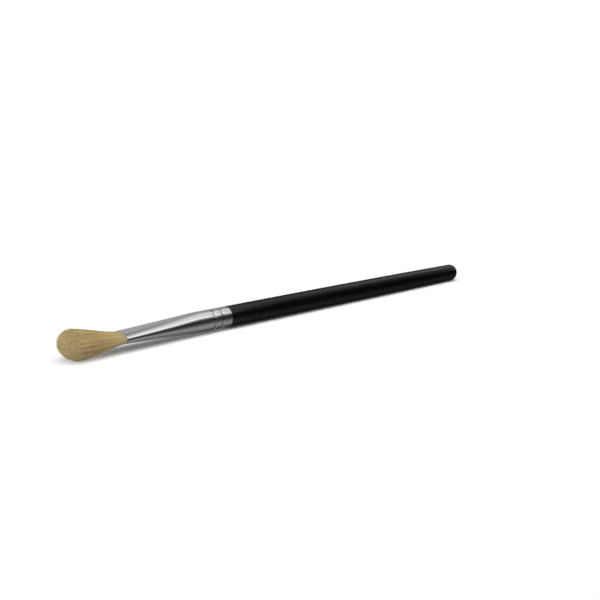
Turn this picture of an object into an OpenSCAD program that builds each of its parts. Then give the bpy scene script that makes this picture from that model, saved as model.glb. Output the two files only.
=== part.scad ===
// Eyeshadow brush: a round wooden handle, a flattened aluminium ferrule and a domed tuft of natural hair.
// The brush lies along X: the hair's tip points to -X and the handle's end to +X.
// The origin is under the middle of the brush, on the surface that the hair's belly rests on.

/* [Handle] */
// Length of the handle behind the ferrule
handle_len = 116; // [80:1:160]
// Length of the straight barrel behind the ferrule
barrel_len = 30; // [12:1:60]
// Diameter of the handle where its round end starts
handle_end_d = 6.2; // [4.5:0.1:6.8]
// Length of the handle's round end
end_round_len = 2.8; // [1:0.1:6]
// Chamfer on the handle's shoulder
shoulder_chamfer = 0.15; // [0.05:0.05:0.4]
// Distance that the tenon's nose stops short of the ferrule's flattening
tenon_setback = 1; // [0.5:0.1:1.6]
// Chamfer on the tenon's nose
tenon_chamfer = 0.5; // [0.2:0.1:1]

/* [Ferrule] */
// Length of the ferrule
ferrule_len = 42.5; // [34:0.5:60]
// Outer diameter of the ferrule's round stretch and of the handle's barrel
ferrule_d = 7; // [6.2:0.1:9]
// Thickness of the ferrule's wall
ferrule_wall = 0.35; // [0.2:0.05:0.5]
// Length of the round stretch at the rear
round_len = 11; // [10.4:0.1:15]
// Length over which the round stretch bends into the flattened one
bend_len = 5; // [2:0.5:8]
// Thickness of the flattened mouth
mouth_t = 3.9; // [3:0.1:5]
// Number of crimp grooves
crimp_count = 2; // [1:1:2]
// Distance from the rear edge to the first groove's middle
crimp_first = 4.6; // [2.5:0.1:5.4]
// Distance between the grooves
crimp_pitch = 3.1; // [2:0.1:3.8]
// Width of a groove
crimp_w = 1.3; // [0.8:0.1:2]
// Depth of a groove
crimp_depth = 0.22; // [0.1:0.02:0.3]

/* [Hair] */
// Length of the hair in front of the ferrule
hair_len = 21; // [15:0.5:30]
// Width of the tuft at its belly
hair_w = 11.7; // [10:0.1:14]
// Thickness of the tuft at its belly
hair_t = 10.8; // [8.5:0.1:12]
// How far the brush's weight presses the resting belly flat
belly_flat = 0.3; // [0.1:0.05:0.5]
// Height that the tip of the resting tuft is bent up
tip_lift = 0.65; // [0:0.05:1]
// Number of strands
strand_count = 320; // [300:1:350]
// Length of the hair roots inside the ferrule
root_len = 14; // [12.5:0.5:16]

/* [Binding and glue] */
// Thickness of the thread wound round the roots
thread_t = 0.35; // [0.2:0.05:0.5]
// Width of the wound thread
thread_w = 2; // [1:0.1:3]
// Distance from the ferrule's mouth to the middle of the thread
thread_at = 10; // [8:0.5:10.5]
// Length of the glue plug behind the roots
glue_len = 6; // [3:0.5:6.5]
// Thickness of the glue between the tenon and the ferrule
tenon_glue_t = 0.15; // [0.1:0.01:0.2]

/* [Clearances] */
// Gap between the hair roots and the ferrule
root_gap = 0.05; // [0.03:0.01:0.1]
// Gap between glue or thread and what it touches
glue_gap = 0.02; // [0.01:0.01:0.03]

/* [Hidden] */

// Sides of the round solids, of the ferrule's oval stretch and of the pieces inside it
round_sides = 96;
oval_sides = 72;
inner_sides = 32;
// Steps along the handle's taper, round end, a groove and the ferrule's bend
taper_steps = 20;
end_steps = 14;
groove_steps = 10;
bend_steps = 4;
// How far the oval stretch runs into the round one, and how far it stays inside its skins there
lap_len = 0.5;
lap_step = 0.01;

// Sides of a strand
strand_sides = 3;
// Turn from one strand to the next, which spreads them evenly
golden_angle = 180 * (3 - sqrt(5));
// How far the strands run into their roots, and how far they stay inside the edge of them
strand_sink = 0.5;
strand_tuck = 0.03;
// Place of the belly along the hair
belly_share = 0.8;
// Part of the flare that eases in and out, the rest being straight
flare_ease_share = 0.4;
// Roundness of the dome: 2 is an ellipse, and less is more pointed
dome_power_share = 1.6;
// Part of the room between strands that each one fills
strand_fill_share = 0.82;
// Places of the rings along a strand, and its thickness there as a share of its full one
strand_place_shares = [0, 0.45, 0.93];
strand_thick_shares = [1, 1, 0.8];

ferrule_r = ferrule_d / 2;
bore_r = ferrule_r - ferrule_wall;
tenon_r = bore_r - tenon_glue_t;
tenon_len = round_len - tenon_setback;
end_r = handle_end_d / 2;
taper_len = handle_len - barrel_len - end_round_len;
front_len = ferrule_len - round_len;
// Pressing a tube flat nearly keeps its length round, so the mouth is wider than the round stretch
mouth_w = 2 * sqrt(2 * pow(ferrule_r, 2) - pow(mouth_t / 2, 2));
mouth_x = -ferrule_len;
root_inset = ferrule_wall + root_gap;
waist_inset = root_inset + thread_t;
foot_inset = root_inset + strand_tuck;
root_end_x = mouth_x + root_len;
thread_x = mouth_x + thread_at;
crimps = [for (k = [0 : crimp_count - 1]) -crimp_first - k * crimp_pitch];

// Depth of one crimp groove at v from its middle, a smooth dip
function dip(v) = abs(v) < crimp_w / 2 ? crimp_depth * (1 + cos(360 * v / crimp_w)) / 2 : 0;

// Depth of the crimp grooves at x
function crimp(x) = max([for (c = crimps) dip(x - c)]);

// Places along X, rising from start to end, with steps inside each groove
function crimp_places(start, end) = concat(
    [start],
    [
        for (k = [crimp_count - 1 : -1 : 0]) for (i = [0 : groove_steps])
            crimps[k] + crimp_w * (i / groove_steps - 1 / 2)
    ],
    [end]
);

// Outline of a round piece as radius and place, its radius shrunk by the grooves
function crimped_line(r, start, end) = [for (x = crimp_places(start, end)) [r - crimp(x), x]];

// How far the tube is flattened at x: 0 where it is round, rising smoothly over the bend, 1 at the mouth
function flattened(x) =
    let (v = -x - round_len, run = front_len - bend_len / 2)
    v <= 0 ? 0 : v < bend_len ? v * v / (2 * bend_len * run) : (v - bend_len / 2) / run;

// Half of the flattened tube's thickness and of its width at x
function half_t(x) = ferrule_r + (mouth_t / 2 - ferrule_r) * flattened(x);
function half_w(x) = ferrule_r + (mouth_w / 2 - ferrule_r) * flattened(x);

// Oval ring at x, drawn in by inset
function oval(x, inset, sides) = [
    for (i = [0 : sides - 1])
        let (a = 360 * (i + 1 / 2) / sides)
        [x, (half_w(x) - inset) * cos(a), (half_t(x) - inset) * sin(a)]
];

// Triangles of the skin over rings of n points that start at point k and follow each other along +X
function skin(k, rings, n) = [
    for (j = [0 : rings - 2]) for (i = [0 : n - 1])
        let (a = k + j * n + i, b = k + j * n + (i + 1) % n)
        each [[a, a + n, b + n], [a, b + n, b]]
];
function flipped(faces) = [for (f = faces) [f[2], f[1], f[0]]];
function reversed(list) = [for (i = [len(list) - 1 : -1 : 0]) list[i]];

// Solid through oval rings, each row being a place along X and an inset
module oval_rod(rows, sides) {
    last = (len(rows) - 1) * sides;
    polyhedron(
        [for (row = rows) each oval(row[0], row[1], sides)],
        concat(
            skin(0, len(rows), sides),
            [[for (i = [0 : sides - 1]) i]],
            [[for (i = [sides - 1 : -1 : 0]) last + i]]
        ),
        convexity = 4
    );
}

// Tube through oval rings, each row being a place along X, an outer inset and an inner inset
module oval_tube(rows, sides) {
    size = len(rows) * sides;
    last = size - sides;
    low_end = [
        for (i = [0 : sides - 1])
            let (b = (i + 1) % sides)
            each [[i, b, size + b], [i, size + b, size + i]]
    ];
    high_end = [for (f = low_end) [f[0] + last, f[1] + last, f[2] + last]];
    polyhedron(
        concat(
            [for (row = rows) each oval(row[0], row[1], sides)],
            [for (row = rows) each oval(row[0], row[2], sides)]
        ),
        concat(
            skin(0, len(rows), sides),
            flipped(skin(size, len(rows), sides)),
            low_end,
            flipped(high_end)
        ),
        convexity = 6
    );
}

// Revolves an outline given as radius and place along X
module turned(outline) {
    rotate([0, 90, 0])
        rotate_extrude($fn = round_sides)
            polygon(outline);
}

// Wooden handle: tenon with the crimps pressed in, straight barrel, slim taper and a round end
module handle() {
    tenon = concat(
        [[0, -tenon_len], [tenon_r - tenon_chamfer, -tenon_len]],
        crimped_line(tenon_r, tenon_chamfer - tenon_len, 0)
    );
    shoulder = [[ferrule_r - shoulder_chamfer, 0], [ferrule_r, shoulder_chamfer]];
    taper = [
        for (i = [0 : taper_steps])
            let (t = i / taper_steps)
            [ferrule_r - (ferrule_r - end_r) * t * t, barrel_len + taper_len * t]
    ];
    round_end = [
        for (i = [1 : end_steps])
            let (a = 90 * i / end_steps)
            [end_r * cos(a), handle_len - end_round_len * (1 - sin(a))]
    ];
    color([0.03, 0.03, 0.035])
        turned(concat(tenon, shoulder, taper, round_end));
}

// Rear stretch of the ferrule: a round tube with the crimp grooves pressed into both of its skins
module round_stretch() {
    turned(concat(
        crimped_line(ferrule_r, -round_len, 0),
        reversed(crimped_line(bore_r, -round_len, 0))
    ));
}

// Front stretch of the ferrule: a thin tube that turns from round to oval
module flattened_stretch() {
    lap = [
        for (x = [-round_len, lap_len - round_len])
            [x, lap_step, ferrule_wall - lap_step]
    ];
    bend = [
        for (i = [bend_steps : -1 : 1])
            [-round_len - bend_len * i / bend_steps, 0, ferrule_wall]
    ];
    oval_tube(concat([[mouth_x, 0, ferrule_wall]], bend, lap), oval_sides);
}

// Aluminium ferrule, crimped over the tenon and flattened over the hair roots
module ferrule() {
    color([0.78, 0.79, 0.8])
        union() {
            round_stretch();
            flattened_stretch();
        }
}

// Easing of the flare from the ferrule's mouth, 0, to the belly, 1
function flare(t) = t >= 1 ? 1 : t * (1 - flare_ease_share) + flare_ease_share * t * t * (3 - 2 * t);

// Share of the hair's length at which the dome ends a strand that lies rho out from the middle
function strand_end(rho) = belly_share + (1 - belly_share) * pow(1 - rho * rho, 1 / dome_power_share);

// Half of the tuft's width and of its thickness where the flare is t
function tuft_half(t, root, belly) = root + (belly - root) * t;
function tuft_half_w(t) = tuft_half(t, half_w(mouth_x) - foot_inset, hair_w / 2);
function tuft_half_t(t) = tuft_half(t, half_t(mouth_x) - foot_inset, hair_t / 2);

// Radius of a strand where the flare is t, from the room that the strands share there
function strand_r(t) = strand_fill_share * min(tuft_half_w(t), tuft_half_t(t)) / sqrt(strand_count);

// Height that the tip's bend lifts a strand at share s of the hair's length
function lift(s) = tip_lift * s * s;

// Half of the width and of the thickness between the outermost strand middles where the flare is t
function middle_half_w(t) = tuft_half_w(t) - strand_r(t);
function middle_half_t(t) = tuft_half_t(t) - strand_r(t);

// Level that the lowest strand middles are pressed up to
rest_share = belly_share * strand_place_shares[2];
rest_level = lift(rest_share) - middle_half_t(flare(rest_share / belly_share)) + belly_flat;

// Middle of a strand at share s of the hair's length, rho being 0 on the axis and 1 at the outside.
// Under the axis, each upright line of strands is squeezed as far as its lowest one is pressed up.
function strand_middle(rho, a, s) =
    let (
        t = flare(s / belly_share),
        edge = middle_half_t(t) * sqrt(1 - pow(rho * cos(a), 2)),
        squeeze = sin(a) < 0 ? min(1, (lift(s) - rest_level) / edge) : 1
    )
    [
        mouth_x - hair_len * s,
        rho * middle_half_w(t) * cos(a),
        rho * middle_half_t(t) * sin(a) * squeeze + lift(s)
    ];

// Each strand's distance from the middle and its angle, spread like the seeds of a sunflower
strands = [
    for (i = [0 : strand_count - 1])
        [sqrt((i + 1 / 2) / strand_count), golden_angle * i]
];

// One ring of a strand at share s of the hair's length, moved back by sink
function strand_ring(strand, s, thick, sink) =
    let (c = strand_middle(strand[0], strand[1], s), r = strand_r(flare(s / belly_share)) * thick)
    [
        for (i = [0 : strand_sides - 1])
            let (b = 90 + 360 * i / strand_sides)
            [c[0] + sink, c[1] + r * cos(b), c[2] + r * sin(b)]
    ];

// Points of one strand: its sunk foot, its rings from the ferrule's mouth outwards and then its tip
function strand_points(strand) =
    let (reach = strand_end(strand[0]))
    concat(
        strand_ring(strand, 0, strand_thick_shares[0], strand_sink),
        [
            for (k = [0 : len(strand_place_shares) - 1])
                each strand_ring(strand, reach * strand_place_shares[k], strand_thick_shares[k], 0)
        ],
        [strand_middle(strand[0], strand[1], reach)]
    );

// Triangles of one strand whose points start at point k
function strand_faces(k) =
    let (
        n = strand_sides,
        rings = len(strand_place_shares) + 1,
        top = k + (rings - 1) * n,
        tip = k + rings * n
    )
    concat(
        flipped(skin(k, rings, n)),
        [for (i = [0 : n - 1]) [top + i, top + (i + 1) % n, tip]],
        [for (i = [1 : n - 2]) [k + i + 1, k + i, k]]
    );

hair_points = [for (s = strands) each strand_points(s)];
points_per_strand = strand_sides * (len(strand_place_shares) + 1) + 1;

// Tuft of tapering strands, fused to the packed roots that fill the mouth and are tied behind it
module hair_tuft() {
    low = thread_x - thread_w / 2;
    high = thread_x + thread_w / 2;
    color([0.72, 0.62, 0.46])
        resize([hair_len + root_len, 0, 0])
            union() {
                polyhedron(
                    hair_points,
                    [for (i = [0 : len(strands) - 1]) each strand_faces(i * points_per_strand)],
                    convexity = 10
                );
                oval_rod(
                    [
                        [mouth_x, root_inset],
                        [low, root_inset],
                        [low, waist_inset],
                        [high, waist_inset],
                        [high, root_inset],
                        [root_end_x, root_inset]
                    ],
                    inner_sides
                );
            }
}

// Thread wound round the waist of the hair roots
module root_thread() {
    low = thread_x - thread_w / 2 + glue_gap;
    high = thread_x + thread_w / 2 - glue_gap;
    color([0.9, 0.88, 0.82])
        oval_tube([for (x = [low, high]) [x, root_inset, waist_inset - glue_gap]], inner_sides);
}

// Plug of hardened glue that holds the ends of the hair roots
module root_glue() {
    start = root_end_x + glue_gap;
    color([0.75, 0.6, 0.3])
        oval_rod([for (x = [start, start + glue_len]) [x, ferrule_wall + glue_gap]], inner_sides);
}

// Sleeve of hardened glue between the tenon and the ferrule
module tenon_glue() {
    start = tenon_chamfer - tenon_len;
    color([0.85, 0.78, 0.55])
        turned(concat(
            crimped_line(bore_r - glue_gap, start, -glue_gap),
            reversed(crimped_line(tenon_r + glue_gap, start, -glue_gap))
        ));
}

// Puts the brush on the surface that its belly rests on, with the origin under its middle
module placed() {
    lowest = min([for (p = hair_points) p[2]]);
    translate([(ferrule_len + hair_len - handle_len) / 2, 0, max(ferrule_r, -lowest)])
        children();
}

placed() handle();
placed() ferrule();
placed() hair_tuft();
placed() root_thread();
placed() root_glue();
placed() tenon_glue();
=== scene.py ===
"""Looks of an eyeshadow brush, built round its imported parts.

The brush lies along X with the hair's tip towards -X, and all sizes are in metres.
Handle, ferrule, thread and hairs are surfaces worked out from formulas.
"""

import math

import bpy
import numpy as np
from bpy.props import FloatProperty, FloatVectorProperty, IntProperty, PointerProperty
from mathutils import Matrix, Vector


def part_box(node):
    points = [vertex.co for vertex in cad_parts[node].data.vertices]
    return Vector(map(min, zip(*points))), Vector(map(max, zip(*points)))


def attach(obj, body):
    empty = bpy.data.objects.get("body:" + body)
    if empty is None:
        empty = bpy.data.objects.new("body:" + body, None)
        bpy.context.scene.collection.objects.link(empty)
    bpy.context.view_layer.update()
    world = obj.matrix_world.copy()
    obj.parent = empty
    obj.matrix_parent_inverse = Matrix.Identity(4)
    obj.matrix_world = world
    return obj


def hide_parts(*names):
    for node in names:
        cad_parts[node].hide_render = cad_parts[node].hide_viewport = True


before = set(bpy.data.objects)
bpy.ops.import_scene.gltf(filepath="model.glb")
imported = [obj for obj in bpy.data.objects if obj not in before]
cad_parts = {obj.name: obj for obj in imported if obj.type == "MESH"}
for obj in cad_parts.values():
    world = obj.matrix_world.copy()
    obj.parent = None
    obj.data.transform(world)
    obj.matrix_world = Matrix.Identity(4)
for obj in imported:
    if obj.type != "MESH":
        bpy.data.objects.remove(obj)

bl_info = {
    "name": "Eyeshadow brush",
    "version": (1, 0, 0),
    "blender": (4, 5, 0),
    "location": "3D View > Sidebar > Brush",
    "description": "Dresses an eyeshadow brush: lacquered handle, crimped ferrule and hair tuft",
    "category": "Object",
}

MM = 0.001
BODY = "root"

# Places along the brush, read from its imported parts
ferrule_low, ferrule_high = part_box("ferrule")
handle_low, handle_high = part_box("handle")
tuft_low, tuft_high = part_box("hair_tuft")
AXIS_Z = (handle_low.z + handle_high.z) / 2
REAR_X = ferrule_high.x
MOUTH_X = ferrule_low.x
END_X = handle_high.x
TIP_X = tuft_low.x

# Proportions of the tuft: the belly's place as a share of the hair's length, how much earlier the dome starts
# on the underside, the dome's roundness (2 is an ellipse, and less is more pointed), how far the flare eases
# and the run over which the hairs swell past the ferrule's lip
BELLY_SHARE = 0.8
UNDERSIDE_SHARE = 0.1
DOME_POWER = 1.6
FLARE_EASE = 0.4
SWELL_RUN = 0.7 * MM

# The studio: the camera's eye, and the lamps' distance, directions and sizes. The softbox hangs a little to
# the front, and the low fill lights the tip's dome and the floor before it.
CAMERA_EYE = Vector((REAR_X - 245.83 * MM, -299.27 * MM, AXIS_Z + 87.71 * MM))
LAMP_AWAY = 0.65
SOFTBOX_TILT = math.radians(14)
SOFTBOX_WAY = Vector((0, -math.sin(SOFTBOX_TILT), math.cos(SOFTBOX_TILT)))
SOFTBOX_SIZE = (0.9, 0.8)
FILL_WAY = Vector((-0.82, -0.38, 0.42))
FILL_SIZE = (0.5, 0.5)

# How far floor and reflector reach from the brush, and the reflector's radius
STUDIO_REACH = 6.0
REFLECTOR_R = 0.3

# The cards that only the gloss sees. Each one bends round the brush from its first angle to its last, counted
# from -Y upwards, with soft edges of the given width. Its strengths are those that show at the ferrule's
# mouth, at the ferrule's rear, at the handle's start and at the handle's end.
# Their glow is painted reflection in lacquer and aluminium: the highlight bands, the dark room, and the floor
# with its shadow
CARDS = {
    "room": (-180, 250, 30, (0.03, 0.04, 0.003, 0.004)),
    "low back": (-180, -88, 30, (0.2, 0, 0.01, 0.03)),
    "floor": (-80, -25, 50, (0.24, 0.25, 0.17, 0.1)),
    "front": (42, 61, 30, (0.9, 1.1, 0.05, 0.01)),
    "high front": (58, 86, 36, (0.9, 0.64, 0.35, 0.21)),
    "overhead": (84, 110, 26, (0.23, 0.75, 0.29, 0.5)),
    "high back": (102, 122, 30, (0.09, 0.24, 0.3, 0.7)),
    "back": (119, 250, 30, (0.36, 0.27, 0.08, 0.12)),
}


def length(name, description, default_mm, least_mm, most_mm):
    """A length setting, given in millimetres and kept in metres."""
    return FloatProperty(
        name=name,
        description=description,
        default=default_mm * MM,
        min=least_mm * MM,
        max=most_mm * MM,
        precision=5,
        unit="LENGTH",
        subtype="DISTANCE",
    )


def share(name, description, default):
    """A setting between 0 and 1."""
    return FloatProperty(
        name=name, description=description, default=default, min=0, max=1, subtype="FACTOR"
    )


def colour(name, description, default):
    """A colour setting, as linear red, green and blue."""
    return FloatVectorProperty(
        name=name, description=description, default=default, min=0, max=1, size=3, subtype="COLOR"
    )


class HandleSettings(bpy.types.PropertyGroup):
    """Sizes and finish of the wooden handle."""

    barrel_len: length("Barrel length", "Straight stretch behind the ferrule", 30, 12, 60)
    end_d: length("End diameter", "Diameter where the round end starts", 6.2, 4.5, 6.8)
    end_round: length("Round end", "Length of the round end", 2.8, 1, 6)
    end_over: length("Lacquer at the end", "How far the thick lacquer on the end stands out", 0.45, 0, 1)
    shoulder: length("Shoulder rounding", "Rounding of the shoulder at the ferrule", 0.15, 0.05, 0.4)
    tenon_len: length("Tenon length", "Length of the tenon inside the ferrule", 10, 8, 14)
    tenon_r: length("Tenon radius", "Radius of the tenon inside the ferrule", 3, 2.5, 4)
    tenon_chamfer: length("Tenon chamfer", "Chamfer on the tenon's nose", 0.5, 0.2, 1)
    lacquer: colour("Lacquer", "Colour of the lacquer", (0.0022, 0.0022, 0.0024))
    gloss_blur: share("Gloss blur", "Roughness of the lacquer", 0.13)


class FerruleSettings(bpy.types.PropertyGroup):
    """Sizes and finish of the aluminium ferrule."""

    outer_d: length("Diameter", "Outer diameter of the round stretch", 7, 6.2, 9)
    wall: length("Wall", "Thickness of the wall", 0.35, 0.2, 0.5)
    round_len: length("Round stretch", "Length of the round stretch at the rear", 11, 10.4, 15)
    bend_len: length("Bend", "Length over which the round stretch turns into the flat one", 5, 2, 8)
    mouth_t: length("Mouth thickness", "Thickness of the flattened mouth", 3.9, 3, 5)
    crimp_first: length("First crimp", "Distance from the rear edge to the first groove", 3.8, 2.5, 5.4)
    crimp_pitch: length("Crimp pitch", "Distance between the two grooves", 3.1, 2, 3.8)
    crimp_w: length("Crimp width", "Width of a groove", 1.4, 0.8, 2.4)
    crimp_depth: length("Crimp depth", "Depth of a groove", 0.15, 0.1, 0.3)
    metal: colour("Metal", "Colour of the aluminium", (0.85, 0.87, 0.89))
    metal_blur: share("Metal blur", "Roughness of the aluminium", 0.16)


class HairSettings(bpy.types.PropertyGroup):
    """Sizes and colours of the hair tuft."""

    width: length("Width", "Width of the combed tuft at its belly", 11.4, 10, 14)
    thickness: length("Thickness", "Thickness of the combed tuft at its belly", 9.9, 8.5, 12)
    swell: length("Swell", "How far the hairs swell out over the ferrule's lip", 0.45, 0, 0.5)
    tip_lift: length("Tip lift", "Height that the resting tip is bent up", 0.65, 0, 1)
    hairs: IntProperty(
        name="Hairs", description="Hairs in each of the four layers", default=5200, min=500, max=5200
    )
    thick: length("Hair thickness", "Diameter of one hair", 0.095, 0.05, 0.15)
    root_gap: length("Root gap", "Gap between the hair roots and the ferrule", 0.05, 0.03, 0.1)
    root_len: length("Root length", "Length of the roots inside the ferrule", 14, 12, 16)
    root_tone: colour("Root colour", "Colour of the hair at the ferrule", (0.46, 0.37, 0.19))
    belly_tone: colour("Belly colour", "Colour of the hair at the belly", (0.46, 0.335, 0.15))
    # The tips' lighter colour is partly the hair's own and partly painted light against the shade between the
    # tips at the dome
    tip_tone: colour("Tip colour", "Colour of the hair's tips", (0.64, 0.52, 0.275))


class BindingSettings(bpy.types.PropertyGroup):
    """Sizes and colours of the hidden thread and glue."""

    thread_t: length("Thread thickness", "Thickness of the wound thread", 0.35, 0.2, 0.5)
    thread_w: length("Thread width", "Width of the winding", 2, 1, 3)
    thread_at: length("Thread place", "Distance from the ferrule's mouth to the winding", 10, 8, 10.5)
    turns: IntProperty(name="Turns", description="Turns of the wound thread", default=6, min=3, max=12)
    gap: length("Glue gap", "Gap between thread or glue and what it touches", 0.02, 0.01, 0.03)
    thread_tone: colour("Thread colour", "Colour of the thread", (0.82, 0.79, 0.70))
    glue_tone: colour("Glue colour", "Colour of the hardened glue", (0.62, 0.42, 0.14))


class StageSettings(bpy.types.PropertyGroup):
    """Floor, light and camera."""

    floor_tone: share("Floor tone", "Colour of the floor, as a grey", 0.9)
    sky: FloatProperty(
        name="Sky", description="Strength of the even light from all round", default=0.22, min=0, max=2
    )
    softbox: FloatProperty(
        name="Softbox", description="Power of the lamp overhead", default=5.7, min=0, max=30, unit="POWER"
    )
    fill: FloatProperty(
        name="Fill", description="Power of the low lamp at the tip", default=1.9, min=0, max=30, unit="POWER"
    )
    turn: FloatProperty(
        name="Camera turn",
        description="Camera's turn round the brush, 0 looking along +Y",
        default=math.radians(-43.012),
        unit="ROTATION",
    )
    rise: FloatProperty(
        name="Camera rise",
        description="Camera's angle above the horizon",
        default=math.radians(12),
        unit="ROTATION",
    )
    roll: FloatProperty(
        name="Camera roll",
        description="Camera's turn about its own line of sight",
        default=math.radians(-0.15),
        unit="ROTATION",
    )
    lens: FloatProperty(
        name="Lens", description="Focal length on a 36 mm sensor, in millimetres", default=72, min=20
    )


def tube_quads(rows, sides, ring_closed=False):
    """Quads between neighbouring rings of sides points each.

    They face outwards where the rings follow each other along +X and run from +Y to +Z. ring_closed joins the
    last ring to the first one.
    """
    row, side = np.meshgrid(np.arange(rows - (not ring_closed)), np.arange(sides), indexing="ij")
    after = (row + 1) % rows
    beside = (side + 1) % sides
    corners = [
        row * sides + side,
        row * sides + beside,
        after * sides + beside,
        after * sides + side,
    ]
    return np.stack(corners, axis=-1).reshape(-1, 4)


def fan(pole, first, sides, facing_back):
    """Triangles from a pole point to the ring that starts at point first."""
    near = first + np.arange(sides)
    beside = first + (np.arange(sides) + 1) % sides
    middle = np.full(sides, pole)
    order = [middle, beside, near] if facing_back else [middle, near, beside]
    return np.stack(order, axis=-1)


def mesh_piece(name, points, face_sets, sharp_angle=None):
    """A shaded object from an array of points and arrays of faces, each with one number of corners."""
    corners = np.concatenate([faces.ravel() for faces in face_sets])
    sizes = np.concatenate([np.full(len(faces), faces.shape[1]) for faces in face_sets])
    starts = np.cumsum(sizes) - sizes
    mesh = bpy.data.meshes.new(name)
    mesh.vertices.add(len(points))
    mesh.vertices.foreach_set("co", points.astype(np.float32).ravel())
    mesh.loops.add(len(corners))
    mesh.loops.foreach_set("vertex_index", corners.astype(np.int32))
    mesh.polygons.add(len(sizes))
    mesh.polygons.foreach_set("loop_start", starts.astype(np.int32))
    mesh.polygons.foreach_set("use_smooth", np.ones(len(sizes), bool))
    mesh.update(calc_edges=True)
    if sharp_angle is not None:
        mesh.set_sharp_from_angle(angle=sharp_angle)
    piece = bpy.data.objects.new(name, mesh)
    bpy.context.scene.collection.objects.link(piece)
    return piece


def paint(piece, name, tones):
    """Keeps a colour for each point of a piece, as an attribute of that name."""
    rgba = np.concatenate([tones, np.ones((len(tones), 1))], axis=1)
    layer = piece.data.color_attributes.new(name, "FLOAT_COLOR", "POINT")
    layer.data.foreach_set("color", rgba.astype(np.float32).ravel())


def dress(piece, material, stands_for=()):
    """Gives a piece its material and slot, and sets it on the brush."""
    piece.data.materials.append(material)
    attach(piece, BODY)
    if stands_for:
        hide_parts(*stands_for)


def half_sizes(x, ferrule):
    """Half of the ferrule's width and of its thickness at x.

    The round tube flattens by a square law over the bend and then evenly up to the mouth. There the quadratic
    mean of both half sizes is the round tube's radius, since pressing a tube flat nearly keeps its length
    round.
    """
    run = REAR_X - MOUTH_X - ferrule.round_len - ferrule.bend_len / 2
    v = REAR_X - x - ferrule.round_len
    bend = np.clip(v, 0, ferrule.bend_len)
    past_bend = np.maximum(v - ferrule.bend_len, 0)
    flattened = bend * bend / (2 * ferrule.bend_len * run) + past_bend / run
    round_r = ferrule.outer_d / 2
    mouth_high = ferrule.mouth_t / 2
    mouth_wide = math.sqrt(2 * round_r**2 - mouth_high**2)
    wide = round_r + (mouth_wide - round_r) * flattened
    high = round_r + (mouth_high - round_r) * flattened
    return wide, high


def crimp_dip(x, around, ferrule):
    """Depth of the grooves at x: a raised cosine over each groove's width.

    A cosine round the ring makes them a little deeper and shallower, where the crimping tool's jaws pressed,
    and turns on from the first groove to the second.
    """
    grooves = 2
    jaws = 9
    jaw_share = 0.25
    jaw_turn = 2.1
    dip = np.zeros(np.broadcast(x, around).shape)
    for k in range(grooves):
        middle = REAR_X - ferrule.crimp_first - k * ferrule.crimp_pitch
        v = np.clip((x - middle) / ferrule.crimp_w, -0.5, 0.5)
        jaw = 1 - jaw_share + jaw_share * np.cos(jaws * around + jaw_turn * k)
        dip = np.maximum(dip, ferrule.crimp_depth * jaw * (1 + np.cos(2 * np.pi * v)) / 2)
    return dip


def oval_points(x, inset, sides, ferrule):
    """Elliptic rings of the flattened tube, with the crimp grooves pressed in.

    x and inset hold one value a ring, the inset being drawn in from the outer skin.
    """
    x = np.asarray(x, float)[:, None]
    inset = np.asarray(inset, float)[:, None]
    wide, high = half_sizes(x, ferrule)
    around = 2 * np.pi * (np.arange(sides)[None, :] + 0.5) / sides
    drawn = inset + crimp_dip(x, around, ferrule)
    y = (wide - drawn) * np.cos(around)
    z = (high - drawn) * np.sin(around) + AXIS_Z
    return np.stack(np.broadcast_arrays(x, y, z), axis=-1).reshape(-1, 3)


def flare(t):
    """Easing of the flare from the ferrule's mouth, 0, to the belly, 1: part straight, part a smooth step."""
    t = np.minimum(t, 1)
    return (1 - FLARE_EASE) * t + FLARE_EASE * t * t * (3 - 2 * t)


def hair_middle(rho, angle, s, ferrule, hair):
    """Middle line, at shares s of the length, of hairs that start rho out from the middle at an angle.

    The mouth's oval grows into the belly's with the flare, after a quick swell over the lip, and a square law
    bends the tip up. Under the axis, each upright line of hairs is squeezed as far as the floor presses its
    lowest one.
    """
    t = flare(s / BELLY_SHARE)
    inset = ferrule.wall + hair.root_gap
    root_wide, root_high = (half - inset for half in half_sizes(MOUTH_X, ferrule))
    swell = hair.swell * (1 - np.exp(-np.maximum(s, 0) * (MOUTH_X - TIP_X) / SWELL_RUN)) * (1 - t)
    wide = root_wide + (hair.width / 2 - root_wide) * t + swell - hair.thick / 2
    high = root_high + (hair.thickness / 2 - root_high) * t + swell - hair.thick / 2
    lifted = hair.tip_lift * s * np.abs(s)
    lowest = high * np.sqrt(1 - np.clip(rho * np.cos(angle), -1, 1) ** 2) + hair.thick / 2
    press = np.where(np.sin(angle) < 0, np.minimum(1, (AXIS_Z + lifted) / lowest), 1)
    x = MOUTH_X - (MOUTH_X - TIP_X) * s
    y = rho * wide * np.cos(angle)
    z = rho * high * np.sin(angle) * press + lifted + AXIS_Z
    return np.stack(np.broadcast_arrays(x, y, z), axis=-1)


def hair_reach(rho, angle):
    """Share of the hair's length at which the dome ends a hair that lies rho out from the middle at an angle.

    The dome starts earlier on the underside, so it rises from the floor in a rounder curve.
    """
    edge = BELLY_SHARE - UNDERSIDE_SHARE * np.clip(-np.sin(angle), 0, 1)
    return edge + (1 - edge) * (1 - np.minimum(rho, 1) ** 2) ** (1 / DOME_POWER)


def nearest_locks(rho, angle, locks):
    """Each hair's lock, and the places of the hair and of its lock's middle on a unit circle.

    The middles lie like the seeds of a sunflower, each one turned on by the golden angle and further out by a
    square root, and a hair belongs to the nearest of them.
    """
    golden = np.pi * (3 - math.sqrt(5))
    lock_rho = np.sqrt((np.arange(locks) + 0.5) / locks)
    lock_angle = golden * np.arange(locks)
    spot = np.stack([rho * np.cos(angle), rho * np.sin(angle)], axis=-1)
    lock_spot = np.stack([lock_rho * np.cos(lock_angle), lock_rho * np.sin(lock_angle)], axis=-1)
    away = ((spot[:, None, :] - lock_spot[None, :, :]) ** 2).sum(axis=-1)
    lock = away.argmin(axis=1)
    return lock, spot, lock_spot[lock]


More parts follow.
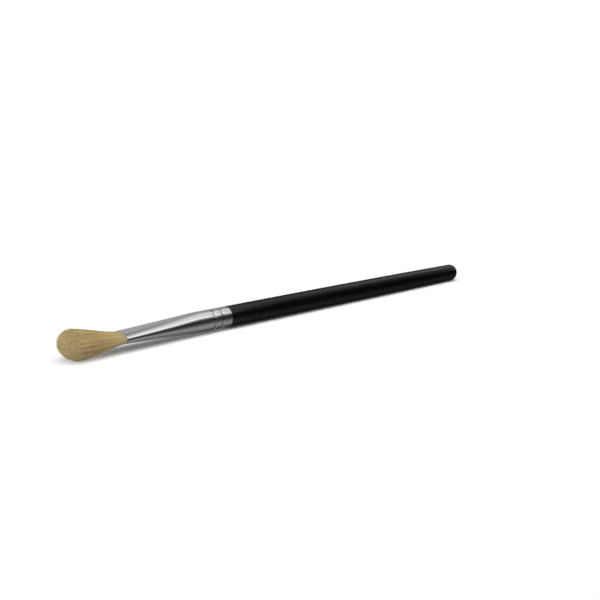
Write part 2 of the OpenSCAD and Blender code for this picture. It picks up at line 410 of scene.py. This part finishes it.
def hair_tones(draw, lock, locks, s, hair):
    """Colours at shares s along the hairs, from root to belly to tip, shaded for each lock and each hair."""
    root_run = 0.55
    tip_run = 0.45
    lock_shades = (0.86, 1.1)
    own_shades = (0.82, 1.12)
    warm_spread = 0.025
    warm_tint = np.array([[1.0, 0.0, -1.6]])
    count = len(lock)
    root, belly, tip = (np.array(c) for c in (hair.root_tone, hair.belly_tone, hair.tip_tone))
    along = np.clip(s, 0, 1)[..., None]
    # Towards the tips the colour lightens: partly the hair's own, partly painted light against the shade at
    # the dome
    tone = np.where(
        along < root_run,
        root + (belly - root) * along / root_run,
        belly + (tip - belly) * (along - root_run) / tip_run,
    )
    lock_shade = draw.uniform(*lock_shades, locks)[lock][:, None, None]
    own_shade = draw.uniform(*own_shades, count)[:, None, None]
    warm = draw.normal(0, warm_spread, (count, 1)) * warm_tint
    return np.clip(tone * lock_shade * own_shade * (1 + warm[:, None, :]), 0, 1)


def hair_layer(name, low, high, seed, ferrule, hair):
    """One layer of tapering hairs, spread evenly over the ring from low to high of the tuft's radius.

    Hairs lean to the middle of their lock, and each one wanders a little more towards its tip. A ring of a
    hair is a small triangle across it.
    """
    sides = 3
    locks = 340
    # A hair's rings: their places as shares of its length, the first one inside the ferrule, and its taper
    places = np.array([-0.04, 0.025, 0.08, 0.3, 0.55, 0.8, 1.0])
    thin_shares = np.array([1, 1, 1, 1, 1, 0.85, 0.4])
    thickness_range = (0.75, 1.15)
    # How far the trimmed ends differ, how far a hair leans to its lock, and the millimetres that both wander
    short_share = 0.05
    uneven_share = 0.015
    lean_share = 0.45
    own_wander = 0.16
    lock_wander = 0.1
    wander_power = 1.5

    draw = np.random.default_rng(seed)
    count = hair.hairs
    rho = np.sqrt(draw.uniform(low * low, high * high, count))
    angle = draw.uniform(0, 2 * np.pi, count)
    lock, spot, lock_spot = nearest_locks(rho, angle, locks)

    short = short_share * draw.uniform(0, 1, count) ** 2
    uneven = uneven_share * draw.standard_normal(count).clip(-2, 1.5)
    reach = np.minimum(hair_reach(rho, angle) * (1 - short + uneven), 1.0)
    s = np.concatenate([np.full((count, 1), places[0]), reach[:, None] * places[None, 1:]], axis=1)
    lean = lean_share * np.clip(s, 0, 1)[..., None]
    spot_now = spot[:, None, :] * (1 - lean) + lock_spot[:, None, :] * lean
    rho_now = np.hypot(spot_now[..., 0], spot_now[..., 1])
    angle_now = np.arctan2(spot_now[..., 1], spot_now[..., 0])
    middle = hair_middle(rho_now, angle_now, s, ferrule, hair)
    own_way = draw.standard_normal((count, 1, 2)).clip(-2, 2) * own_wander * MM
    lock_way = draw.standard_normal((locks, 2)).clip(-2, 2)[lock][:, None, :] * lock_wander * MM
    grown = np.clip(s, 0, 1)[..., None] ** wander_power
    middle[..., 1:] += (own_way + lock_way) * grown

    thin = thin_shares * hair.thick / 2
    thin = thin[None, :] * draw.uniform(*thickness_range, (count, 1))
    start = draw.uniform(0, 2 * np.pi, count)
    corner = start[:, None] + 2 * np.pi * np.arange(sides)[None, :] / sides
    across = np.stack([np.zeros_like(corner), np.cos(corner), np.sin(corner)], axis=-1)
    rings = middle[:, :, None, :] + thin[:, :, None, None] * across[:, None, :, :]
    steps = len(places)
    per_hair = steps * sides
    points = rings.reshape(-1, 3)

    # A hair's rings follow each other along -X, so its faces are turned round
    one = tube_quads(steps, sides)[:, ::-1]
    ends = np.array([np.arange(sides), (steps - 1) * sides + np.arange(sides)[::-1]])
    offsets = (np.arange(count) * per_hair)[:, None, None]
    quads = (offsets + one[None]).reshape(-1, 4)
    caps = (offsets + ends[None]).reshape(-1, sides)
    piece = mesh_piece(name, points, [quads, caps])

    tones = hair_tones(draw, lock, locks, s, hair)
    paint(piece, "hair_tone", np.repeat(tones[:, :, None, :], sides, axis=2).reshape(-1, 3))
    return piece


def blank_material(name):
    """A node material, with its nodes, its links and its shader."""
    material = bpy.data.materials.new(name)
    material.use_nodes = True
    nodes = material.node_tree.nodes
    shader = nodes["Principled BSDF"]
    return material, nodes, material.node_tree.links, shader


def soft_step(t):
    """0 below -1/2, 1 above 1/2, and a smooth step between them."""
    t = np.clip(t + 0.5, 0, 1)
    return t * t * (3 - 2 * t)


def stretched_noise(nodes, links, scale, stretch, detail=4.0):
    """Noise on object coordinates, stretched by a scale along each axis."""
    place = nodes.new("ShaderNodeTexCoord")
    mapping = nodes.new("ShaderNodeMapping")
    mapping.inputs["Scale"].default_value = stretch
    noise = nodes.new("ShaderNodeTexNoise")
    noise.inputs["Scale"].default_value = scale
    noise.inputs["Detail"].default_value = detail
    links.new(place.outputs["Object"], mapping.inputs["Vector"])
    links.new(mapping.outputs["Vector"], noise.inputs["Vector"])
    return noise


def spread(nodes, links, source, low, high):
    """A noise value spread from low to high."""
    remap = nodes.new("ShaderNodeMapRange")
    remap.inputs["From Min"].default_value = 0.3
    remap.inputs["From Max"].default_value = 0.7
    remap.inputs["To Min"].default_value = low
    remap.inputs["To Max"].default_value = high
    links.new(source, remap.inputs["Value"])
    return remap.outputs["Result"]


def bumped(nodes, links, shader, source, depth, strength):
    """A fine relief on the shader from a noise value, with its depth in metres."""
    bump = nodes.new("ShaderNodeBump")
    bump.inputs["Strength"].default_value = strength
    bump.inputs["Distance"].default_value = depth
    links.new(source, bump.inputs["Height"])
    links.new(bump.outputs["Normal"], shader.inputs["Normal"])


def toned(nodes, links, shader, source, dark, light):
    """A colour between dark and light that follows a noise value."""
    ramp = nodes.new("ShaderNodeValToRGB")
    ramp.color_ramp.elements[0].position = 0.3
    ramp.color_ramp.elements[0].color = (*dark, 1)
    ramp.color_ramp.elements[1].position = 0.7
    ramp.color_ramp.elements[1].color = (*light, 1)
    links.new(source, ramp.inputs["Fac"])
    links.new(ramp.outputs["Color"], shader.inputs["Base Color"])


def scaled(tone, factor):
    """A colour made darker or lighter."""
    return tuple(min(1.0, channel * factor) for channel in tone)


def varied(nodes, links, shader, noise, tones, blurs, depth, strength):
    """Lets one noise vary a material's tone and roughness, each between two values, and give it a relief."""
    source = noise.outputs["Fac"]
    toned(nodes, links, shader, source, *tones)
    links.new(spread(nodes, links, source, *blurs), shader.inputs["Roughness"])
    bumped(nodes, links, shader, source, depth, strength)


def lacquer_material(handle):
    """Black lacquer: smooth, with a faint unevenness in its tone, gloss and relief."""
    material, nodes, links, shader = blank_material("black lacquer")
    shader.inputs["IOR"].default_value = 1.5
    fine = stretched_noise(nodes, links, scale=900, stretch=(0.25, 1, 1))
    tones = (scaled(handle.lacquer, 0.8), scaled(handle.lacquer, 1.3))
    blurs = (handle.gloss_blur * 0.85, handle.gloss_blur * 1.15)
    varied(nodes, links, shader, fine, tones, blurs, depth=0.002 * MM, strength=0.3)
    return material


def aluminium_material(ferrule):
    """Drawn aluminium: fine lines along the tube in its tone, gloss and relief."""
    material, nodes, links, shader = blank_material("drawn aluminium")
    shader.inputs["Metallic"].default_value = 1
    lines = stretched_noise(nodes, links, scale=2600, stretch=(0.02, 1, 1), detail=3)
    tones = (scaled(ferrule.metal, 0.93), scaled(ferrule.metal, 1.03))
    blurs = (ferrule.metal_blur * 0.8, ferrule.metal_blur * 1.2)
    varied(nodes, links, shader, lines, tones, blurs, depth=0.004 * MM, strength=0.5)
    return material


def hair_material():
    """Natural hair: each hair's own tone, darkened here and there along its length."""
    material, nodes, links, shader = blank_material("natural hair")
    shader.inputs["Roughness"].default_value = 0.55
    shader.inputs["Specular IOR Level"].default_value = 0.35
    tone = nodes.new("ShaderNodeAttribute")
    tone.attribute_name = "hair_tone"
    patchy = stretched_noise(nodes, links, scale=700, stretch=(0.4, 1, 1))
    mix = nodes.new("ShaderNodeMix")
    mix.data_type = "RGBA"
    mix.blend_type = "MULTIPLY"
    mix.inputs["Factor"].default_value = 1
    shade = nodes.new("ShaderNodeCombineColor")
    for channel, low in (("Red", 0.93), ("Green", 0.9), ("Blue", 0.86)):
        links.new(spread(nodes, links, patchy.outputs["Fac"], low, 1.04), shade.inputs[channel])
    links.new(tone.outputs["Color"], mix.inputs["A"])
    links.new(shade.outputs["Color"], mix.inputs["B"])
    links.new(mix.outputs["Result"], shader.inputs["Base Color"])
    return material


def plain_material(name, tone, blur, scale, stretch=(1, 1, 1), relief_mm=0.01):
    """A mottled material for the hidden pieces."""
    material, nodes, links, shader = blank_material(name)
    noise = stretched_noise(nodes, links, scale, stretch)
    tones = (scaled(tone, 0.85), scaled(tone, 1.1))
    blurs = (blur * 0.85, blur * 1.15)
    varied(nodes, links, shader, noise, tones, blurs, depth=relief_mm * MM, strength=0.4)
    return material


def seen_directly(nodes, links):
    """1 for rays that come from the camera, or that were mirrored or passed through, and 0 for the rest."""
    path = nodes.new("ShaderNodeLightPath")
    most = None
    for ray in ("Is Camera Ray", "Is Glossy Ray", "Is Transmission Ray"):
        if most is None:
            most = path.outputs[ray]
            continue
        larger = nodes.new("ShaderNodeMath")
        larger.operation = "MAXIMUM"
        links.new(most, larger.inputs[0])
        links.new(path.outputs[ray], larger.inputs[1])
        most = larger.outputs["Value"]
    return most


class BRUSH_OT_handle(bpy.types.Operator):
    """Turns the lacquered handle with its tenon, barrel, slim taper and round end"""

    bl_idname = "brush.handle"
    bl_label = "Handle"

    def execute(self, context):
        handle = context.scene.brush_handle
        ferrule = context.scene.brush_ferrule
        outline = self.outline(handle, ferrule)
        sides = 160
        radius, x = outline[1:-1, 0][:, None], outline[1:-1, 1][:, None]
        around = 2 * np.pi * np.arange(sides)[None, :] / sides
        ring = np.stack(
            np.broadcast_arrays(x, radius * np.cos(around), radius * np.sin(around) + AXIS_Z), axis=-1
        ).reshape(-1, 3)
        poles = np.array([[outline[0, 1], 0, AXIS_Z], [outline[-1, 1], 0, AXIS_Z]])
        points = np.concatenate([ring, poles])
        rows = len(outline) - 2
        quads = tube_quads(rows, sides)
        nose = fan(len(ring), 0, sides, True)
        end = fan(len(ring) + 1, (rows - 1) * sides, sides, False)
        piece = mesh_piece("handle_lacquered", points, [quads, nose, end], math.radians(40))
        dress(piece, lacquer_material(handle), ["handle"])
        return {"FINISHED"}

    @staticmethod
    def outline(handle, ferrule):
        """Radius and place of the outline's rings.

        It runs along the tenon's nose and its grooved side, a quarter circle at the shoulder, the barrel, a
        taper by a square law and a quarter ellipse at the end. Each linspace ends with its number of rings.
        """
        r = ferrule.outer_d / 2
        end_r = handle.end_d / 2
        nose_x = REAR_X - handle.tenon_len
        side_x = np.linspace(nose_x + handle.tenon_chamfer, REAR_X, 100)
        side_r = handle.tenon_r - crimp_dip(side_x, np.zeros(1), ferrule)
        turn = np.linspace(0, np.pi / 2, 7)
        shoulder_r = r - handle.shoulder * (1 - np.sin(turn))
        shoulder_x = REAR_X + handle.shoulder * (1 - np.cos(turn))
        taper_x0 = REAR_X + handle.barrel_len
        end_x = END_X + handle.end_over
        taper_x1 = end_x - handle.end_round
        # Rings along the barrel keep its shading straight, close up to the shoulder
        barrel_x = np.linspace(shoulder_x[-1] + handle.shoulder, taper_x0, 20)[:-1]
        barrel_r = np.full(len(barrel_x), r)
        t = np.linspace(0, 1, 60)
        taper_r = r - (r - end_r) * t * t
        taper_x = taper_x0 + (taper_x1 - taper_x0) * t
        bow = np.linspace(0, np.pi / 2, 30)[1:]
        bow_r = end_r * np.cos(bow)
        bow_x = end_x - handle.end_round * (1 - np.sin(bow))
        radius = np.concatenate(
            [[0, handle.tenon_r - handle.tenon_chamfer], side_r, shoulder_r, barrel_r, taper_r, bow_r]
        )
        place = np.concatenate([[nose_x, nose_x], side_x, shoulder_x, barrel_x, taper_x, bow_x])
        radius[-1] = 0
        return np.stack([radius, place], axis=-1)


class BRUSH_OT_ferrule(bpy.types.Operator):
    """Draws the ferrule: a round crimped tube that flattens towards its mouth"""

    bl_idname = "brush.ferrule"
    bl_label = "Ferrule"

    def execute(self, context):
        ferrule = context.scene.brush_ferrule
        lip = 0.09 * MM
        wall = ferrule.wall
        bend_x = REAR_X - ferrule.round_len
        flat_x = bend_x - ferrule.bend_len
        grooves_x = REAR_X - ferrule.crimp_first - ferrule.crimp_pitch - ferrule.crimp_w
        # Rings of the outer skin from the mouth to the rear edge, each stretch ending with its number of them
        skin_x = np.concatenate(
            [
                np.linspace(MOUTH_X + lip, flat_x, 40)[:-1],
                np.linspace(flat_x, bend_x, 16)[:-1],
                np.linspace(bend_x, grooves_x, 8)[:-1],
                np.linspace(grooves_x, REAR_X - lip, 80),
            ]
        )
        turn = np.linspace(0, np.pi / 2, 5)[1:-1]
        # Round the rear edge from the outer skin to the inner one, then back and round the mouth's edge
        rear_x = REAR_X - lip + lip * np.sin(turn)
        rear_in = lip * (1 - np.cos(turn))
        mouth_x = MOUTH_X + lip - lip * np.sin(turn)
        inner_x = skin_x[::-1]
        x = np.concatenate(
            [
                skin_x,
                rear_x,
                [REAR_X, REAR_X],
                rear_x[::-1],
                inner_x,
                mouth_x,
                [MOUTH_X, MOUTH_X],
                mouth_x[::-1],
            ]
        )
        inset = np.concatenate(
            [
                np.zeros(len(skin_x)),
                rear_in,
                [lip, wall - lip],
                wall - rear_in[::-1],
                np.full(len(inner_x), wall),
                wall - rear_in,
                [wall - lip, lip],
                rear_in[::-1],
            ]
        )
        sides = 216
        points = oval_points(x, inset, sides, ferrule)
        piece = mesh_piece(
            "ferrule_aluminium", points, [tube_quads(len(x), sides, ring_closed=True)], math.radians(50)
        )
        dress(piece, aluminium_material(ferrule), ["ferrule"])
        return {"FINISHED"}


class BRUSH_OT_hair(bpy.types.Operator):
    """Grows the tuft in four layers of tapering hairs, and packs their roots into the ferrule"""

    bl_idname = "brush.hair"
    bl_label = "Hair tuft"

    def execute(self, context):
        ferrule = context.scene.brush_ferrule
        hair = context.scene.brush_hair
        binding = context.scene.brush_binding
        material = hair_material()
        layers = (
            ("hair_core", 0.0, 0.75, 11),
            ("hair_body", 0.68, 0.92, 12),
            ("hair_coat", 0.87, 0.98, 13),
            ("hair_outside", 0.94, 1.0, 14),
        )
        for name, low, high, seed in layers:
            piece = hair_layer(name, low, high, seed, ferrule, hair)
            dress(piece, material, ["hair_tuft"])
        self.roots(ferrule, hair, binding)
        return {"FINISHED"}

    @staticmethod
    def roots(ferrule, hair, binding):
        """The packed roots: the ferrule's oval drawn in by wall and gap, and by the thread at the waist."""
        face_depth = 0.3 * MM
        inset = ferrule.wall + hair.root_gap
        waist = inset + binding.thread_t
        face_x = MOUTH_X + face_depth
        low = MOUTH_X + binding.thread_at - binding.thread_w / 2
        high = low + binding.thread_w
        ends = [face_x, low, low, high, high, MOUTH_X + hair.root_len]
        drawn = [inset, inset, waist, waist, inset, inset]
        sides = 96
        ring = oval_points(ends, drawn, sides, ferrule)
        poles = np.array([[face_x, 0, AXIS_Z], [MOUTH_X + hair.root_len, 0, AXIS_Z]])
        points = np.concatenate([ring, poles])
        last = (len(ends) - 1) * sides
        faces = [
            tube_quads(len(ends), sides),
            fan(len(ring), 0, sides, True),
            fan(len(ring) + 1, last, sides, False),
        ]
        piece = mesh_piece("hair_roots", points, faces, math.radians(40))
        tone = scaled(hair.root_tone, 0.8)
        packed = plain_material("packed roots", tone, blur=0.7, scale=3000, stretch=(0.03, 1, 1))
        dress(piece, packed)


class BRUSH_OT_binding(bpy.types.Operator):
    """Winds the thread round the hair roots and gives the hidden glue its finish"""

    bl_idname = "brush.binding"
    bl_label = "Thread and glue"

    def execute(self, context):
        ferrule = context.scene.brush_ferrule
        hair = context.scene.brush_hair
        binding = context.scene.brush_binding
        sides = 96
        rows_per_turn = 8
        dip_share = 0.4
        rows = rows_per_turn * binding.turns
        low = MOUTH_X + binding.thread_at - binding.thread_w / 2 + binding.gap
        wide = binding.thread_w - 2 * binding.gap
        inset = ferrule.wall + hair.root_gap
        inner = inset + binding.thread_t - binding.gap
        outer_x = np.linspace(low, low + wide, rows)
        x = np.concatenate([outer_x, outer_x[::-1]])
        drawn = np.concatenate([np.full(rows, inset), np.full(rows, inner)])
        points = oval_points(x, drawn, sides, ferrule).reshape(len(x), sides, 3)
        centre = np.array([0, 0, AXIS_Z])
        # The wound thread's rounded turns: the outer skin dips between turns that climb one turn a round
        along = (outer_x - low)[:, None] / wide
        around = np.arange(sides)[None, :] / sides
        ridge = np.abs(np.sin(np.pi * (binding.turns * along + around)))
        dip = dip_share * (binding.thread_t - binding.gap) * (1 - ridge)
        flat_dir = points[:rows] - centre
        flat_dir[..., 0] = 0
        flat_dir /= np.linalg.norm(flat_dir, axis=-1, keepdims=True)
        points[:rows] -= flat_dir * dip[..., None]
        piece = mesh_piece(
            "thread_winding", points.reshape(-1, 3), [tube_quads(len(x), sides, ring_closed=True)]
        )
        thread = plain_material("binding thread", binding.thread_tone, blur=0.75, scale=5000, relief_mm=0.03)
        dress(piece, thread, ["root_thread"])
        glue = plain_material("hardened glue", binding.glue_tone, blur=0.25, scale=900)
        for name, slot in (("root_glue", "resin_glue"), ("tenon_glue", "joint_glue")):
            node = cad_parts[name]
            node.data.materials.clear()
            node.data.materials.append(glue)
        return {"FINISHED"}


class BRUSH_OT_stage(bpy.types.Operator):
    """Sets the pale floor, the soft light and the camera"""

    bl_idname = "brush.stage"
    bl_label = "Floor, light and camera"

    def execute(self, context):
        stage = context.scene.brush_stage
        context.scene.view_settings.view_transform = "Standard"
        self.floor(stage, context.scene.brush_handle)
        self.sky(context.scene, stage)
        self.lamp("softbox", stage.softbox, SOFTBOX_SIZE, SOFTBOX_WAY)
        self.lamp("fill", stage.fill, FILL_SIZE, FILL_WAY)
        self.reflector()
        self.camera(context.scene, stage)
        return {"FINISHED"}

    def floor(self, stage, handle):
        """A wide floor that touches the hair's belly and the handle's end, so it leans by less than a degree.

        Mirrors don't see it: they see the reflector's lower half instead.
        """
        belly_x = -85 * MM
        end_x = END_X - handle.end_round
        end_z = AXIS_Z - handle.end_d / 2
        slope = end_z / (end_x - belly_x)
        reach = STUDIO_REACH
        corners = [(-reach, -reach), (reach, -reach), (reach, reach), (-reach, reach)]
        points = [(x, y, slope * (x - belly_x)) for x, y in corners]
        mesh = bpy.data.meshes.new("floor")
        mesh.from_pydata(points, [], [(0, 1, 2, 3)])
        floor = bpy.data.objects.new("floor", mesh)
        floor.visible_glossy = False
        bpy.context.scene.collection.objects.link(floor)
        mesh.materials.append(self.floor_material(stage))

    @staticmethod
    def floor_material(stage):
        """Matt pale grey that the camera sees fade to pure white, a little already at the tuft, where this
        paints the floor's shadow lighter.

        The fade follows the distance from a place under the handle, counted shorter along the brush.
        """
        # The fade reaches the tuft, where it is painted light that lightens the tuft's shadow; further out it
        # gives the white backdrop
        centre_x = 20 * MM
        along_share = 0.35
        fade_start = 27 * MM
        fade_end = 50 * MM
        material, nodes, links, shader = blank_material("pale floor")
        shader.inputs["Base Color"].default_value = (*([stage.floor_tone] * 3), 1)
        shader.inputs["Roughness"].default_value = 0.9
        shader.inputs["Specular IOR Level"].default_value = 0
        place = nodes.new("ShaderNodeTexCoord")
        squeeze = nodes.new("ShaderNodeMapping")
        squeeze.inputs["Scale"].default_value = (along_share, 1, 1)
        squeeze.inputs["Location"].default_value = (-along_share * centre_x, 0, 0)
        distance = nodes.new("ShaderNodeVectorMath")
        distance.operation = "LENGTH"
        fade = nodes.new("ShaderNodeMapRange")
        fade.interpolation_type = "SMOOTHSTEP"
        fade.inputs["From Min"].default_value = fade_start
        fade.inputs["From Max"].default_value = fade_end
        white_backdrop_and_painted_lift = nodes.new("ShaderNodeMath")
        white_backdrop_and_painted_lift.operation = "MULTIPLY"
        white = nodes.new("ShaderNodeEmission")
        blend = nodes.new("ShaderNodeMixShader")
        links.new(place.outputs["Object"], squeeze.inputs["Vector"])
        links.new(squeeze.outputs["Vector"], distance.inputs[0])
        links.new(distance.outputs["Value"], fade.inputs["Value"])
        links.new(fade.outputs["Result"], white_backdrop_and_painted_lift.inputs[0])
        links.new(seen_directly(nodes, links), white_backdrop_and_painted_lift.inputs[1])
        links.new(white_backdrop_and_painted_lift.outputs["Value"], blend.inputs["Fac"])
        links.new(shader.outputs["BSDF"], blend.inputs[1])
        links.new(white.outputs["Emission"], blend.inputs[2])
        links.new(blend.outputs["Shader"], nodes["Material Output"].inputs["Surface"])
        return material

    @staticmethod
    def sky(scene, stage):
        """Even light from all round, which camera and mirrors see as white."""
        world = bpy.data.worlds.new("studio")
        world.use_nodes = True
        nodes, links = world.node_tree.nodes, world.node_tree.links
        backdrop = nodes["Background"]
        backdrop.inputs["Color"].default_value = (1, 1, 1, 1)
        strength = nodes.new("ShaderNodeMapRange")
        strength.inputs["To Min"].default_value = stage.sky
        strength.inputs["To Max"].default_value = 1
        links.new(seen_directly(nodes, links), strength.inputs["Value"])
        links.new(strength.outputs["Result"], backdrop.inputs["Strength"])
        scene.world = world

    @staticmethod
    def lamp(name, power, size, towards):
        """A broad soft lamp that shines on the brush. Mirrors see the reflector in its place."""
        lamp = bpy.data.lights.new(name, "AREA")
        lamp.shape = "RECTANGLE"
        lamp.size, lamp.size_y = size
        lamp.energy = power
        box = bpy.data.objects.new(name, lamp)
        box.location = LAMP_AWAY * towards.normalized()
        box.rotation_euler = towards.to_track_quat("Z", "Y").to_euler()
        box.visible_glossy = False
        bpy.context.scene.collection.objects.link(box)

    def reflector(self):
        """A black tube round the brush that only its gloss sees, with the cards as glowing bands on it:
        painted reflections.

        The tone is the sum of the cards. Each one is a band with soft edges across, and with strengths that
        change evenly along the tube between the places that the camera sees mirrored in the brush.
        """
        radius = REFLECTOR_R
        reach = STUDIO_REACH
        seam = -145
        steps = 180
        dim_share = 0.6
        # The camera sees the brush mirror each place further along the tube, by its slant towards the brush
        places = np.array(
            [
                MOUTH_X,
                REAR_X - 8 * MM,
                REAR_X + 0.5 * MM,
                REAR_X + 3.5 * MM,
                END_X - 8 * MM,
                END_X + 15 * MM,
                END_X + 250 * MM,
                END_X + 350 * MM,
            ]
        )
        eye = CAMERA_EYE - Vector((0, 0, AXIS_Z))
        mirrored = places + (places - eye.x) * radius / math.hypot(eye.y, eye.z)
        turn = np.linspace(seam, seam + 360, steps + 1)[:-1]
        x, angle = np.meshgrid([-reach, *mirrored, reach], turn, indexing="ij")
        spot = np.radians(angle)
        points = np.stack([x, -radius * np.cos(spot), radius * np.sin(spot) + AXIS_Z], axis=-1)
        tube = mesh_piece("reflector", points.reshape(-1, 3), [tube_quads(len(x), len(turn))])
        tone = np.zeros(x.shape)
        for first, last, soft, (mouth, rear, start, end) in CARDS.values():
            across = soft_step((angle - first) / soft) * soft_step((last - angle) / soft)
            # Past the brush's end a dimmer stretch lights what faces it, and then the dark begins
            along = [mouth, rear, rear, start, end, dim_share * rear, dim_share * rear, 0]
            tone += across * np.interp(x, mirrored, along)
        paint(tube, "painted_reflection_tone", np.repeat(tone.reshape(-1, 1), 3, axis=1))
        tube.data.materials.append(self.card_material())
        tube.visible_camera = False
        tube.visible_diffuse = False
        tube.visible_shadow = False

    @staticmethod
    def card_material():
        """Glows with the cards' tones, the brush's painted reflections."""
        material = bpy.data.materials.new("reflector")
        material.use_nodes = True
        nodes, links = material.node_tree.nodes, material.node_tree.links
        nodes.remove(nodes["Principled BSDF"])
        card = nodes.new("ShaderNodeAttribute")
        card.attribute_name = "painted_reflection_tone"
        glow = nodes.new("ShaderNodeEmission")
        links.new(card.outputs["Color"], glow.inputs["Color"])
        links.new(glow.outputs["Emission"], nodes["Material Output"].inputs["Surface"])
        return material

    @staticmethod
    def camera(scene, stage):
        """The photograph's view: turned and raised round the brush, from the eye that fits its outline."""
        lens = bpy.data.cameras.new("camera")
        lens.sensor_width = 36
        lens.lens = stage.lens
        lens.clip_start, lens.clip_end = 0.01, 30
        camera = bpy.data.objects.new("camera", lens)
        back = Vector(
            (
                math.sin(stage.turn) * math.cos(stage.rise),
                -math.cos(stage.turn) * math.cos(stage.rise),
                math.sin(stage.rise),
            )
        )
        look = back.to_track_quat("Z", "Y").to_matrix().to_4x4()
        camera.matrix_world = Matrix.Translation(CAMERA_EYE) @ look @ Matrix.Rotation(stage.roll, 4, "Z")
        scene.collection.objects.link(camera)
        scene.camera = camera


class BRUSH_PT_panel(bpy.types.Panel):
    """Lists the brush's operators and settings"""

    bl_idname = "BRUSH_PT_panel"
    bl_label = "Eyeshadow brush"
    bl_space_type = "VIEW_3D"
    bl_region_type = "UI"
    bl_category = "Brush"

    def draw(self, context):
        for operator, group in STEPS:
            box = self.layout.box()
            box.operator(operator.bl_idname)
            settings = getattr(context.scene, group)
            for name in settings.bl_rna.properties.keys():
                if name not in ("rna_type", "name"):
                    box.prop(settings, name)


GROUPS = {
    "brush_handle": HandleSettings,
    "brush_ferrule": FerruleSettings,
    "brush_hair": HairSettings,
    "brush_binding": BindingSettings,
    "brush_stage": StageSettings,
}
STEPS = (
    (BRUSH_OT_handle, "brush_handle"),
    (BRUSH_OT_ferrule, "brush_ferrule"),
    (BRUSH_OT_hair, "brush_hair"),
    (BRUSH_OT_binding, "brush_binding"),
    (BRUSH_OT_stage, "brush_stage"),
)


def register():
    """Registers the settings, the operators and the panel."""
    for name, group in GROUPS.items():
        bpy.utils.register_class(group)
        setattr(bpy.types.Scene, name, PointerProperty(type=group))
    for operator, _ in STEPS:
        bpy.utils.register_class(operator)
    bpy.utils.register_class(BRUSH_PT_panel)


def unregister():
    """Takes back what register did."""
    bpy.utils.unregister_class(BRUSH_PT_panel)
    for operator, _ in reversed(STEPS):
        bpy.utils.unregister_class(operator)
    for name, group in GROUPS.items():
        delattr(bpy.types.Scene, name)
        bpy.utils.unregister_class(group)


def main():
    """Dresses the brush."""
    register()
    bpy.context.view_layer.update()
    bpy.ops.brush.handle()
    bpy.ops.brush.ferrule()
    bpy.ops.brush.hair()
    bpy.ops.brush.binding()
    bpy.ops.brush.stage()


if __name__ == "__main__":
    main()
